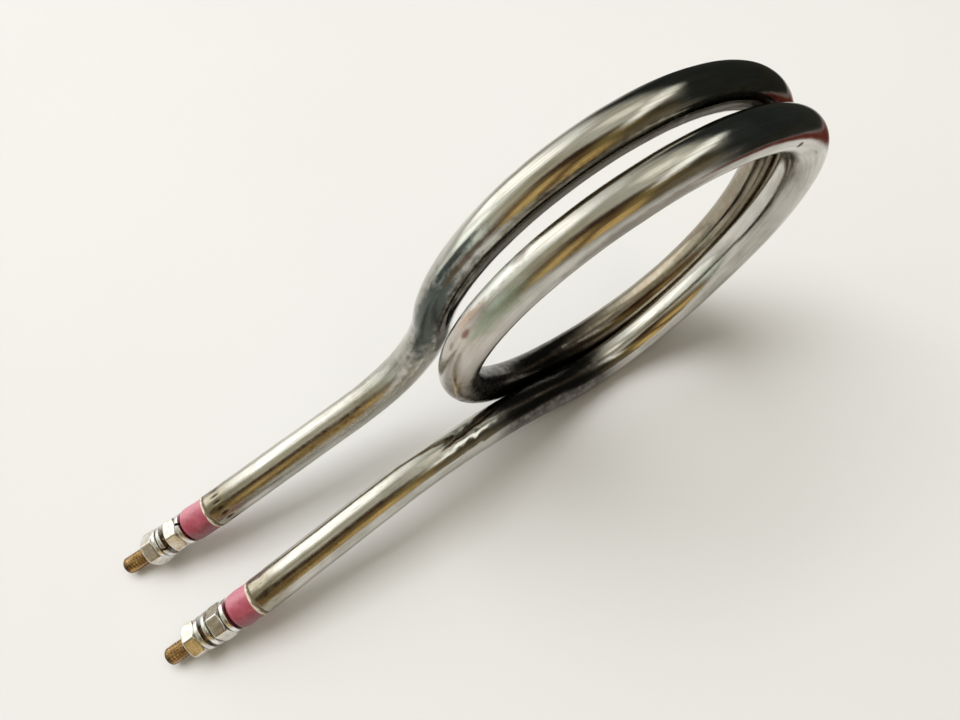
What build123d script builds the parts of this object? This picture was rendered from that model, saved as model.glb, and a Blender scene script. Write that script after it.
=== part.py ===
from build123d import *
import math
import os

# Tubular heating element: one bent metal-sheathed tube with two turns and two
# straight legs, a mineral-insulated resistance winding inside, and an M4 screw
# terminal on each end.
#
# Row frame, millimetres: +X runs from the terminals towards the coil, +Z is up,
# Y is close to the coil's own axis.  The element stands on both turns and on the
# two outer terminal nuts, with Z = 0 on that surface and the origin under the
# middle of its box.

# ---------------------------------------------------------------- dimensions
TUBE_OD = 8.0                 # outside diameter of the sheath
TUBE_WALL = 0.8
TUBE_RIM_CHAMFER = 0.2

SEAL_SPIGOT = 3.0             # how far each end seal plugs into the tube
PIN_R = 1.25                  # cold pin inside the tube
PIN_INSIDE = 27.0             # cold length inside each leg
COIL_LAP = 4.0                # winding screwed over the end of the cold pin
WINDING_R = 1.65              # outside of the resistance winding
STUD_R = 1.95                 # M4 thread, outside
THREAD_MEET_R = 1.77          # M4 thread, where a nut's thread meets the stud's
STUD_NOSE = 0.8               # rounding of the stud's free end

BEAD_R = 3.98                 # sealing bead between tube rim and end seal
BEAD_T = 0.7
BEAD_BORE = 2.6
SEAL_R = 3.92
SEAL_EDGE = 1.25              # rounded outer edge of the end seal

NUT_AF = 7.0                  # M4 hexagon nut, across flats
NUT_T = 3.2
SPRING_OD, SPRING_ID, SPRING_T = 7.5, 4.2, 1.1
SPRING_GAP, SPRING_CUT_DEG = 0.55, 24.0
FLAT_OD, FLAT_ID, FLAT_T = 7.7, 4.2, 0.9

# Distances from the tube's mouth along each terminal's axis.  The two terminals
# were assembled by hand and differ a little.
#            seal   inner    inner   flat     outer    outer   stud
#            end    spring   nut     washer   spring   nut     tip
STACK = {
    "a": dict(seal=6.85, spring_in=6.95, nut_in=8.15, spring_out=12.15,
              flat=13.30, nut_out=14.25, tip=24.2),
    "b": dict(seal=6.10, spring_in=6.40, nut_in=7.75, flat=11.00,
              spring_out=12.75, nut_out=13.90, tip=22.9),
}
# Turn of each nut's corner and of each washer's cut about the terminal axis,
# counted from the direction that leans most towards +Z.
TURN = {
    "a": dict(spring_in=1.3, nut_in=35.6, spring_out=312.3, nut_out=59.3),
    "b": dict(spring_in=127.5, nut_in=7.5, spring_out=197.5, nut_out=49.5),
}

# Axis of each terminal, bent a few degrees from its leg
TERMINAL_AXIS = {"a": (-0.943649, 0.116784, -0.309659), "b": (-0.964177, 0.065494, -0.257046)}

# Centre line of the tube, from mouth B through both turns to mouth A:
# position, and direction of travel there.  Neighbouring stations are joined by a
# straight run, or by two arcs that meet tangentially.
ROUTE = [
    ((-57.456, -8.816, 8.148), (0.981585, 0.034000, 0.187974)),
    ((-26.371, -7.740, 14.101), (0.981585, 0.034000, 0.187974)),
    ((20.725, -4.771, 7.643), (0.891660, 0.084064, -0.444833)),
    ((45.530, -3.736, 5.436), (0.955013, -0.025508, 0.295465)),
    ((64.898, -5.853, 19.814), (0.582563, -0.135470, 0.801416)),
    ((73.864, -9.764, 41.799), (0.117555, -0.171922, 0.978071)),
    ((67.472, -13.656, 66.061), (-0.618449, -0.108662, 0.778276)),
    ((45.027, -14.904, 78.295), (-0.990814, 0.015985, 0.134283)),
    ((20.627, -12.984, 74.544), (-0.899741, 0.134209, -0.415275)),
    ((2.577, -8.425, 58.041), (-0.472787, 0.217808, -0.853834)),
    ((-1.216, -2.375, 33.279), (0.197923, 0.225272, -0.953981)),
    ((12.676, 2.658, 11.696), (0.796018, 0.138395, -0.589239)),
    ((37.285, 4.608, 4.001), (0.999844, 0.004663, 0.017065)),
    ((61.604, 3.057, 12.179), (0.796143, -0.108461, 0.595309)),
    ((75.944, -0.216, 33.721), (0.235851, -0.121906, 0.964113)),
    ((73.045, -3.113, 59.771), (-0.441921, -0.089817, 0.892546)),
    ((54.098, -4.765, 77.916), (-0.914201, -0.020573, 0.404738)),
    ((28.391, -3.569, 79.804), (-0.955952, 0.120346, -0.267718)),
    ((7.896, 1.000, 65.876), (-0.597358, 0.220603, -0.771037)),
    ((-0.837, 6.867, 43.046), (-0.059778, 0.226248, -0.972234)),
    ((-21.699, 12.140, 18.462), (-0.969883, 0.034000, -0.241187)),
    ((-57.793, 13.405, 9.486), (-0.969883, 0.034000, -0.241187))
]


# ---------------------------------------------------------------- centre line
def vec(t):
    return Vector(*t)


def turned(v, axis, angle):
    """v turned about a unit axis by angle (radians)."""
    c, s = math.cos(angle), math.sin(angle)
    return v * c + axis.cross(v) * s + axis * (axis.dot(v) * (1 - c))


def arc_run(p0, t0, p1):
    """The arc that leaves p0 along t0 and ends at p1."""
    w = p1 - p0
    axis = t0.cross(w)
    if axis.length < 1e-6 * w.length:
        return dict(kind="line", p=p0, t=t0, length=w.length)
    axis = axis.normalized()
    inward = axis.cross(t0)
    rho = w.dot(w) / (2 * w.dot(inward))
    angle = 2 * math.atan2(t0.cross(w).length, t0.dot(w))
    return dict(kind="arc", p=p0, t=t0, axis=axis, centre=p0 + inward * rho,
                rho=rho, length=rho * angle)


def at(run, s):
    """Point and direction at distance s along a run."""
    if run["kind"] == "line":
        return run["p"] + run["t"] * s, run["t"]
    angle = s / run["rho"]
    return (run["centre"] + turned(run["p"] - run["centre"], run["axis"], angle),
            turned(run["t"], run["axis"], angle))


def biarc(p0, t0, p1, t1):
    v, t = p1 - p0, t0 + t1
    k = 2 * (1 - t0.dot(t1))
    vt = v.dot(t)
    if k > 1e-9:
        d = (-vt + math.sqrt(vt * vt + k * v.dot(v))) / k
    else:
        d = v.dot(v) / (4 * v.dot(t1))
    middle = (p0 + p1 + (t0 - t1) * d) * 0.5
    first = arc_run(p0, t0, middle)
    _, tm = at(first, first["length"])
    return [first, arc_run(middle, tm, p1)]


def centre_line():
    runs = []
    for (pa, ta), (pb, tb) in zip(ROUTE[:-1], ROUTE[1:]):
        p0, t0 = vec(pa), vec(ta).normalized()
        p1, t1 = vec(pb), vec(tb).normalized()
        w = p1 - p0
        if runs:
            _, t0 = at(runs[-1], runs[-1]["length"])
        if w.cross(t0).length < 1e-3 * w.length and t0.dot(t1) > 0.999999:
            runs.append(dict(kind="line", p=p0, t=w.normalized(), length=w.length))
        else:
            runs += biarc(p0, t0, p1, t1)
    return runs


RUNS = centre_line()
LENGTH = sum(r["length"] for r in RUNS)


def part_of_route(start, end):
    """The runs between two distances along the centre line."""
    out, s = [], 0.0
    for r in RUNS:
        a, b = max(start - s, 0.0), min(end - s, r["length"])
        if b - a > 1e-6:
            p, t = at(r, a)
            cut = dict(r, p=p, t=t, length=b - a)
            out.append(cut)
        s += r["length"]
    return out


def along(start, end, outer, inner=0.0):
    """Solid of ring or round section along the centre line: cylinders and tori."""
    runs = part_of_route(start, end)
    x = runs[0]["t"].cross(Vector(0, 1, 0)).normalized()
    pieces = []
    for r in runs:
        plane = Plane(origin=r["p"], x_dir=x, z_dir=r["t"])
        section = Circle(outer)
        if inner:
            section -= Circle(inner)
        face = (plane * section).face()
        if r["kind"] == "line":
            pieces.append(Solid.extrude(face, r["t"] * r["length"]))
        else:
            angle = r["length"] / r["rho"]
            pieces.append(Solid.revolve(face, math.degrees(angle),
                                        Axis(r["centre"], r["axis"])))
            x = turned(x, r["axis"], angle)
    whole = pieces[0]
    if len(pieces) > 1:
        whole = pieces[0].fuse(*pieces[1:])
    return whole


# ---------------------------------------------------------------- mouths
B_MOUTH, B_OUT = vec(ROUTE[0][0]), -RUNS[0]["t"]
A_MOUTH, A_OUT = vec(ROUTE[-1][0]), RUNS[-1]["t"]
MOUTH = {"a": (A_MOUTH, A_OUT), "b": (B_MOUTH, B_OUT)}


def up_across(axis):
    return (Vector(0, 0, 1) - axis * axis.Z).normalized()


def leg_place(side):
    point, out = MOUTH[side]
    return Plane(origin=point, x_dir=up_across(out), z_dir=out).location


def terminal_place(side):
    point, _ = MOUTH[side]
    out = vec(TERMINAL_AXIS[side]).normalized()
    return Plane(origin=point, x_dir=up_across(out), z_dir=out).location


def cyl(radius, low, high):
    return Pos(0, 0, low) * Cylinder(radius, high - low,
                                     align=(Align.CENTER, Align.CENTER, Align.MIN))


def outside_half(side):
    """Everything beyond the plane of the tube's mouth."""
    return leg_place(side) * Box(40, 40, 60, align=(Align.CENTER, Align.CENTER, Align.MIN))


# ---------------------------------------------------------------- pieces
def pin(side):
    k = STACK[side]
    inner = leg_place(side) * cyl(PIN_R, -PIN_INSIDE, 0)
    knee = Pos(*tuple(MOUTH[side][0])) * Sphere(PIN_R)
    shank = terminal_place(side) * cyl(PIN_R, 0, 2.2)
    stud = cyl(STUD_R, 2.0, k["tip"])
    stud = fillet(stud.edges().sort_by(Axis.Z)[-1], STUD_NOSE)
    for low in (k["nut_in"], k["nut_out"]):
        stud -= cyl(4, low, low + NUT_T) - cyl(THREAD_MEET_R, low - 1, low + NUT_T + 1)
    return inner + knee + shank + terminal_place(side) * stud


def bead(side):
    ring = terminal_place(side) * (cyl(BEAD_R, -1.0, BEAD_T) - cyl(BEAD_BORE, -1.5, 1.5))
    return ring & outside_half(side)


def seal(side):
    k = STACK[side]
    head = cyl(SEAL_R, BEAD_T, k["seal"])
    head = fillet(head.edges().sort_by(Axis.Z)[-1], SEAL_EDGE)
    neck = (terminal_place(side) * cyl(BEAD_BORE, -0.5, BEAD_T + 0.01)) & outside_half(side)
    spigot = leg_place(side) * cyl(TUBE_OD / 2 - TUBE_WALL, -SEAL_SPIGOT, 0)
    return (terminal_place(side) * head + neck + spigot) - PINS[side]


def nut(side, low, turn):
    body = Pos(0, 0, low) * extrude(RegularPolygon(NUT_AF / 2, 6, major_radius=False), NUT_T)
    corner = NUT_AF / math.sqrt(3)
    drop = (corner - 0.97 * NUT_AF / 2) * math.tan(math.radians(28))
    edge = 0.97 * NUT_AF / 2
    profile = Polyline((0, low), (edge, low), (corner + 0.02, low + drop),
                       (corner + 0.02, low + NUT_T - drop), (edge, low + NUT_T),
                       (0, low + NUT_T), close=True)
    turned_blank = revolve(Plane.XZ * make_face(profile), Axis.Z)
    sink = 0.35
    wide = THREAD_MEET_R + sink + 0.15
    mouth_cut = Pos(0, 0, low) * Cone(wide, THREAD_MEET_R, wide - THREAD_MEET_R,
                                      align=(Align.CENTER, Align.CENTER, Align.MIN))
    far_cut = Pos(0, 0, low + NUT_T - (wide - THREAD_MEET_R)) * Cone(
        THREAD_MEET_R, wide, wide - THREAD_MEET_R,
        align=(Align.CENTER, Align.CENTER, Align.MIN))
    body = (body & turned_blank) - cyl(THREAD_MEET_R, low - 1, low + NUT_T + 1) - mouth_cut - far_cut
    return terminal_place(side) * Rot(0, 0, turn) * body


def spring_washer(side, low, turn):
    ring = cyl(SPRING_OD / 2, low, low + SPRING_T) - cyl(SPRING_ID / 2, low - 1, low + 3)
    ring = chamfer(ring.edges().filter_by(GeomType.CIRCLE).sort_by(SortBy.RADIUS)[-2:], 0.15)
    cut = (Pos(SPRING_OD / 2 - 1, 0, low + SPRING_T / 2) * Rot(SPRING_CUT_DEG, 0, 0)
           * Box(4, SPRING_GAP, 6))
    return terminal_place(side) * Rot(0, 0, turn) * (ring - cut)


def flat_washer(side, low):
    ring = cyl(FLAT_OD / 2, low, low + FLAT_T) - cyl(FLAT_ID / 2, low - 1, low + 3)
    ring = chamfer(ring.edges().filter_by(GeomType.CIRCLE).sort_by(SortBy.RADIUS)[-2:], 0.12)
    return terminal_place(side) * ring


def solid_of(shape):
    """The single solid in a shape."""
    if isinstance(shape, Solid):
        return shape
    found = shape.solids()
    return found[0] if len(found) == 1 else Compound(found)


PINS = {s: pin(s) for s in "ab"}
RI = TUBE_OD / 2 - TUBE_WALL

nodes = {}

tube = along(0.0, LENGTH, TUBE_OD / 2, RI)
rims = []
for side in "ab":
    point, out = MOUTH[side]
    for e in tube.edges().filter_by(GeomType.CIRCLE):
        if abs(e.radius - TUBE_OD / 2) < 1e-3 and (e.arc_center - point).length < 1e-3:
            rims.append(e)
nodes["sheath_tube"] = chamfer(rims, TUBE_RIM_CHAMFER)

lap = PIN_INSIDE - COIL_LAP
nodes["resistance_coil"] = along(lap, LENGTH - lap, WINDING_R, PIN_R)

powder = along(lap, LENGTH - lap, RI, WINDING_R)
powder = powder.fuse(along(SEAL_SPIGOT, lap, RI, PIN_R),
                     along(LENGTH - lap, LENGTH - SEAL_SPIGOT, RI, PIN_R))
core = along(PIN_INSIDE, LENGTH - PIN_INSIDE, PIN_R)
nodes["magnesia_fill"] = Compound([*powder.solids(), *core.solids()])

for side in "ab":
    k, turn = STACK[side], TURN[side]
    nodes["terminal_pin_" + side] = PINS[side]
    nodes["seal_bead_" + side] = bead(side)
    nodes["end_seal_" + side] = seal(side)
    nodes["inner_spring_washer_" + side] = spring_washer(side, k["spring_in"], turn["spring_in"])
    nodes["inner_nut_" + side] = nut(side, k["nut_in"], turn["nut_in"])
    nodes["flat_washer_" + side] = flat_washer(side, k["flat"])
    nodes["outer_spring_washer_" + side] = spring_washer(side, k["spring_out"], turn["spring_out"])
    nodes["outer_nut_" + side] = nut(side, k["nut_out"], turn["nut_out"])

os.makedirs("parts", exist_ok=True)
low = [1e9] * 3
high = [-1e9] * 3
for name, shape in nodes.items():
    body = solid_of(shape)
    body.label = name
    export_step(body, "parts/" + name + ".step")
    box = body.bounding_box()
    for i, (a, b) in enumerate(zip(tuple(box.min), tuple(box.max))):
        low[i], high[i] = min(low[i], a), max(high[i], b)

print("centre line length", round(LENGTH, 2))
print("arc radii", [round(r["rho"], 1) for r in RUNS if r["kind"] == "arc"])
print("box", [round(v, 3) for v in low], [round(v, 3) for v in high])
tube_volume = math.pi * ((TUBE_OD / 2) ** 2 - RI ** 2) * LENGTH
print("tube volume", round(nodes["sheath_tube"].volume, 1), "section x length", round(tube_volume, 1))
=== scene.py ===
import math

import bpy
import numpy as np
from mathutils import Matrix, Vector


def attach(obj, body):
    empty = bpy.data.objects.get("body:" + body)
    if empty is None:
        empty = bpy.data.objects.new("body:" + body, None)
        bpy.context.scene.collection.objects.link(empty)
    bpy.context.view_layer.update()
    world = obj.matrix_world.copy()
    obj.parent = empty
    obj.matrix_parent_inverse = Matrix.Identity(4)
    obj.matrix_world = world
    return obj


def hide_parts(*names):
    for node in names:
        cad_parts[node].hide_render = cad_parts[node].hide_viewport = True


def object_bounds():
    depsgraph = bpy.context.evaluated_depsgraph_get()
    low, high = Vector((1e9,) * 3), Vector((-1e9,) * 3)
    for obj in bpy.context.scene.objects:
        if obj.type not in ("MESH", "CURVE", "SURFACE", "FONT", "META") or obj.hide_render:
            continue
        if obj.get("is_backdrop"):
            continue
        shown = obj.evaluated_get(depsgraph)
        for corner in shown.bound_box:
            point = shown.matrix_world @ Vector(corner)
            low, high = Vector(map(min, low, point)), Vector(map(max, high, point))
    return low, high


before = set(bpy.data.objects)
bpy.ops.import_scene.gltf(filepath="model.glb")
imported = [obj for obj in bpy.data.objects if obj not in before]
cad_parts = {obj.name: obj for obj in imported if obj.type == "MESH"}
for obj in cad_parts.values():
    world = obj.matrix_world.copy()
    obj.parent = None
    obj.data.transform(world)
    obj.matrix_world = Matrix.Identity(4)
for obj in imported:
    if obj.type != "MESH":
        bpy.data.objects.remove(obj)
size_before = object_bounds()

MM = 0.001

# ------------------------------------------------------------------ the part's numbers (mm)
TUBE_R = 4.0
BORE_R = 3.2
TERMINAL_AXIS = {"a": (-0.943649, 0.116784, -0.309659), "b": (-0.964177, 0.065494, -0.257046)}
TURN = {
    "a": dict(spring_in=1.3, nut_in=35.6, spring_out=312.3, nut_out=59.3),
    "b": dict(spring_in=127.5, nut_in=7.5, spring_out=197.5, nut_out=49.5),
}
STACK = {
    "a": dict(seal=6.85, spring_in=6.95, nut_in=8.15, spring_out=12.15,
              flat=13.30, nut_out=14.25, tip=24.2),
    "b": dict(seal=6.10, spring_in=6.40, nut_in=7.75, flat=11.00,
              spring_out=12.75, nut_out=13.90, tip=22.9),
}
ROUTE = [
    ((-57.456, -8.816, 8.148), (0.981585, 0.034000, 0.187974)),
    ((-26.371, -7.740, 14.101), (0.981585, 0.034000, 0.187974)),
    ((20.725, -4.771, 7.643), (0.891660, 0.084064, -0.444833)),
    ((45.530, -3.736, 5.436), (0.955013, -0.025508, 0.295465)),
    ((64.898, -5.853, 19.814), (0.582563, -0.135470, 0.801416)),
    ((73.864, -9.764, 41.799), (0.117555, -0.171922, 0.978071)),
    ((67.472, -13.656, 66.061), (-0.618449, -0.108662, 0.778276)),
    ((45.027, -14.904, 78.295), (-0.990814, 0.015985, 0.134283)),
    ((20.627, -12.984, 74.544), (-0.899741, 0.134209, -0.415275)),
    ((2.577, -8.425, 58.041), (-0.472787, 0.217808, -0.853834)),
    ((-1.216, -2.375, 33.279), (0.197923, 0.225272, -0.953981)),
    ((12.676, 2.658, 11.696), (0.796018, 0.138395, -0.589239)),
    ((37.285, 4.608, 4.001), (0.999844, 0.004663, 0.017065)),
    ((61.604, 3.057, 12.179), (0.796143, -0.108461, 0.595309)),
    ((75.944, -0.216, 33.721), (0.235851, -0.121906, 0.964113)),
    ((73.045, -3.113, 59.771), (-0.441921, -0.089817, 0.892546)),
    ((54.098, -4.765, 77.916), (-0.914201, -0.020573, 0.404738)),
    ((28.391, -3.569, 79.804), (-0.955952, 0.120346, -0.267718)),
    ((7.896, 1.000, 65.876), (-0.597358, 0.220603, -0.771037)),
    ((-0.837, 6.867, 43.046), (-0.059778, 0.226248, -0.972234)),
    ((-21.699, 12.140, 18.462), (-0.969883, 0.034000, -0.241187)),
    ((-57.793, 13.405, 9.486), (-0.969883, 0.034000, -0.241187))
]

BEAD_T = 0.7
rng = np.random.RandomState(11)


def unit(v):
    v = np.asarray(v, float)
    return v / np.linalg.norm(v)


# ------------------------------------------------------------------ centre line
def arc_run(p0, t0, p1):
    w = p1 - p0
    ax = np.cross(t0, w)
    if np.linalg.norm(ax) < 1e-6 * np.linalg.norm(w):
        return dict(kind="line", p=p0, t=t0, n=None, length=float(np.linalg.norm(w)))
    ax = unit(ax)
    n = np.cross(ax, t0)
    rho = float(w @ w / (2 * (w @ n)))
    ang = 2 * math.atan2(float(np.linalg.norm(np.cross(t0, w))), float(t0 @ w))
    return dict(kind="arc", p=p0, t=t0, n=n, rho=rho, ang=ang, length=rho * ang)


def at(run, s):
    if run["kind"] == "line":
        return run["p"] + run["t"] * s, run["t"], np.zeros(3)
    a = s / run["rho"]
    c = run["p"] + run["n"] * run["rho"]
    inward = math.cos(a) * run["n"] - math.sin(a) * run["t"]
    return c - run["rho"] * inward, math.cos(a) * run["t"] + math.sin(a) * run["n"], inward / run["rho"]


def biarc(p0, t0, p1, t1):
    v, t = p1 - p0, t0 + t1
    k = 2 * (1 - float(t0 @ t1))
    vt = float(v @ t)
    d = (-vt + math.sqrt(vt * vt + k * float(v @ v))) / k if k > 1e-9 else float(v @ v) / (4 * float(v @ t1))
    m = 0.5 * (p0 + p1 + d * (t0 - t1))
    first = arc_run(p0, t0, m)
    tm = at(first, first["length"])[1]
    return [first, arc_run(m, tm, p1)]


RUNS = []
for (pa, ta), (pb, tb) in zip(ROUTE[:-1], ROUTE[1:]):
    p0, t0, p1, t1 = np.array(pa), unit(ta), np.array(pb), unit(tb)
    w = p1 - p0
    if RUNS:
        t0 = at(RUNS[-1], RUNS[-1]["length"])[1]
    if np.linalg.norm(np.cross(w, t0)) < 1e-3 * np.linalg.norm(w) and t0 @ t1 > 0.999999:
        RUNS.append(dict(kind="line", p=p0, t=unit(w), n=None, length=float(np.linalg.norm(w))))
    else:
        RUNS += biarc(p0, t0, p1, t1)
STARTS = np.r_[0, np.cumsum([r["length"] for r in RUNS])]
LENGTH = float(STARTS[-1])


def line_at(s):
    i = int(min(max(np.searchsorted(STARTS, s, side="right") - 1, 0), len(RUNS) - 1))
    return at(RUNS[i], s - STARTS[i])


MOUTH = {"a": (np.array(ROUTE[-1][0]), at(RUNS[-1], RUNS[-1]["length"])[1]),
         "b": (np.array(ROUTE[0][0]), -RUNS[0]["t"])}


def placed(side):
    """Origin and axes (x, y, z) of a terminal: z runs outwards, x leans towards +Z."""
    o = MOUTH[side][0]
    z = unit(TERMINAL_AXIS[side])
    x = unit(np.array([0, 0, 1.0]) - z * z[2])
    return o, x, np.cross(z, x), z


# ------------------------------------------------------------------ mesh helpers
def facing_out(verts, faces):
    """The faces, all turned over if together they enclose a negative volume."""
    v = np.asarray(verts, float)
    tris = [(f[0], f[i], f[i + 1]) for f in faces for i in range(1, len(f) - 1)]
    t = v[np.array(tris)]
    volume = np.einsum("ij,ij->i", t[:, 0], np.cross(t[:, 1], t[:, 2])).sum()
    return [f[::-1] for f in faces] if volume < 0 else faces


def make_mesh(name, verts, faces, coords=None, smooth=True, flat_angle=None):
    faces = facing_out(verts, faces)
    me = bpy.data.meshes.new(name)
    me.from_pydata((np.asarray(verts) * MM).tolist(), [], faces)
    me.update()
    if coords is not None:
        a = me.attributes.new("local_mm", "FLOAT_VECTOR", "POINT")
        a.data.foreach_set("vector", np.asarray(coords, np.float32).ravel())
    if smooth:
        me.polygons.foreach_set("use_smooth", [True] * len(me.polygons))
    ob = bpy.data.objects.new(name, me)
    bpy.context.scene.collection.objects.link(ob)
    if flat_angle is not None:
        me.set_sharp_from_angle(angle=math.radians(flat_angle))
    return ob


def rings_to_faces(n_rings, n_around, close=False, start=0):
    faces = []
    last = n_rings if close else n_rings - 1
    for i in range(last):
        a, b = start + i * n_around, start + ((i + 1) % n_rings) * n_around
        for j in range(n_around):
            k = (j + 1) % n_around
            faces.append((a + j, a + k, b + k, b + j))
    return faces


def lathe(name, side, profile, n=96, radial=None, axial=None, close=True, turn=0.0, **kw):
    """Rings round a terminal's axis.  profile: (radius, height) pairs of a closed outline.
    radial(th, r, z) and axial(th, r, z) change the radius and the height."""
    o, x, y, z = placed(side)
    th = np.linspace(0, 2 * np.pi, n, endpoint=False)
    t2 = th + math.radians(turn)
    verts, loc = [], []
    for r, h in profile:
        rr = np.full(n, float(r)) if radial is None else radial(th, r, h)
        hh = np.full(n, float(h)) if axial is None else axial(th, rr, h)
        c, s = np.cos(t2), np.sin(t2)
        verts.append(o + (rr * c)[:, None] * x + (rr * s)[:, None] * y + hh[:, None] * z)
        loc.append(np.c_[rr * c, rr * s, hh])
    faces = rings_to_faces(len(profile), n, close)
    if not close:
        faces.append(tuple(range(n))[::-1])
        faces.append(tuple(range((len(profile) - 1) * n, len(profile) * n)))
    return make_mesh(name, np.vstack(verts), faces, np.vstack(loc), **kw)


def rounded(points, radii, steps=5):
    """A closed outline with its corners rounded; radii per corner."""
    out = []
    m = len(points)
    for i, (p, r) in enumerate(zip(points, radii)):
        p = np.array(p, float)
        if r <= 0:
            out.append(tuple(p))
            continue
        a = unit(np.array(points[i - 1], float) - p)
        b = unit(np.array(points[(i + 1) % m], float) - p)
        half = math.acos(max(-1, min(1, float(a @ b)))) / 2
        reach = r / math.tan(half)
        c = p + unit(a + b) * (r / math.sin(half))
        s0, s1 = p + a * reach - c, p + b * reach - c
        full = math.acos(max(-1, min(1, float(unit(s0) @ unit(s1)))))
        for k in range(steps + 1):
            q = k / steps
            w0, w1 = math.sin((1 - q) * full) / math.sin(full), math.sin(q * full) / math.sin(full)
            out.append(tuple(c + s0 * w0 + s1 * w1))
    return out


def refine(profile, step):
    out = []
    m = len(profile)
    for i in range(m):
        p, q = np.array(profile[i]), np.array(profile[(i + 1) % m])
        k = max(1, int(math.ceil(np.linalg.norm(q - p) / step)))
        for j in range(k):
            out.append(tuple(p + (q - p) * j / k))
    return out


def waves(seed, count, scale, amp):
    """Smooth pseudo-random bumps: a sum of sines over 3-D points (mm)."""
    r = np.random.RandomState(seed)
    k = r.normal(size=(count, 3))
    k = k / np.linalg.norm(k, axis=1)[:, None] * (2 * np.pi / scale) * r.uniform(0.6, 1.6, (count, 1))
    ph = r.uniform(0, 2 * np.pi, count)

    def f(p):
        return amp * np.sin(p @ k.T + ph).sum(-1) / math.sqrt(count)
    return f


# ------------------------------------------------------------------ node-tree helpers
class Tree:
    def __init__(self, tree):
        self.t = tree
        tree.nodes.clear()

    def n(self, kind, **props):
        ins = props.pop("ins", {})
        node = self.t.nodes.new(kind)
        for k, v in props.items():
            setattr(node, k, v)
        for k, v in ins.items():
            self.set(node, k, v)
        return node

    def set(self, node, key, v):
        sock = node.inputs[key]
        if isinstance(v, bpy.types.NodeSocket):
            self.t.links.new(v, sock)
        else:
            sock.default_value = v

    def math(self, op, a, b=0.0, c=0.0, clamp=False):
        node = self.t.nodes.new("ShaderNodeMath")
        node.operation = op
        node.use_clamp = clamp
        for i, v in enumerate((a, b, c)):
            if i < len(node.inputs):
                self.set(node, i, v)
        return node.outputs[0]

    def vmath(self, op, a, b=(0, 0, 0)):
        node = self.t.nodes.new("ShaderNodeVectorMath")
        node.operation = op
        self.set(node, 0, a)
        self.set(node, 1, b)
        return node.outputs["Value"] if op in ("DOT_PRODUCT", "LENGTH") else node.outputs["Vector"]

    def remap(self, v, lo, hi, a=0.0, b=1.0, smooth=True):
        node = self.t.nodes.new("ShaderNodeMapRange")
        if smooth:
            node.interpolation_type = "SMOOTHSTEP"
        self.set(node, "Value", v)
        for k, x in (("From Min", lo), ("From Max", hi), ("To Min", a), ("To Max", b)):
            self.set(node, k, x)
        return node.outputs["Result"]

    def mix(self, fac, a, b, blend="MIX"):
        node = self.t.nodes.new("ShaderNodeMix")
        node.data_type = "RGBA"
        node.blend_type = blend
        self.set(node, 0, fac)
        self.set(node, 6, a)
        self.set(node, 7, b)
        return node.outputs[2]

    def noise(self, vec, scale, detail=3.0, rough=0.55, distort=0.0):
        node = self.n("ShaderNodeTexNoise", ins={"Vector": vec, "Scale": scale, "Detail": detail,
                                                 "Roughness": rough, "Distortion": distort})
        return node.outputs[0]

    def ramp(self, fac, stops):
        node = self.t.nodes.new("ShaderNodeValToRGB")
        e = node.color_ramp.elements
        while len(e) < len(stops):
            e.new(0.5)
        for el, (p, c) in zip(e, stops):
            el.position = p
            el.color = (*c, 1.0) if len(c) == 3 else c
        self.set(node, 0, fac)
        return node.outputs[0]

    def bump(self, height, strength, distance, normal=None):
        ins = {"Height": height, "Strength": strength, "Distance": distance}
        if normal is not None:
            ins["Normal"] = normal
        return self.n("ShaderNodeBump", ins=ins).outputs[0]

    def attr(self, name):
        return self.n("ShaderNodeAttribute", attribute_name=name).outputs["Vector"]

    def scaled(self, vec, s):
        return self.vmath("MULTIPLY", vec, s)


def material(name):
    m = bpy.data.materials.new(name)
    m.use_nodes = True
    t = Tree(m.node_tree)
    out = t.n("ShaderNodeOutputMaterial")
    bsdf = t.n("ShaderNodeBsdfPrincipled")
    t.t.links.new(bsdf.outputs[0], out.inputs[0])
    return m, t, bsdf


def rgb(r, g, b):
    """sRGB 0-255 to a linear colour."""
    f = lambda v: (v / 255 / 12.92) if v <= 10 else ((v / 255 + 0.055) / 1.055) ** 2.4
    return (f(r), f(g), f(b), 1.0)


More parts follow.
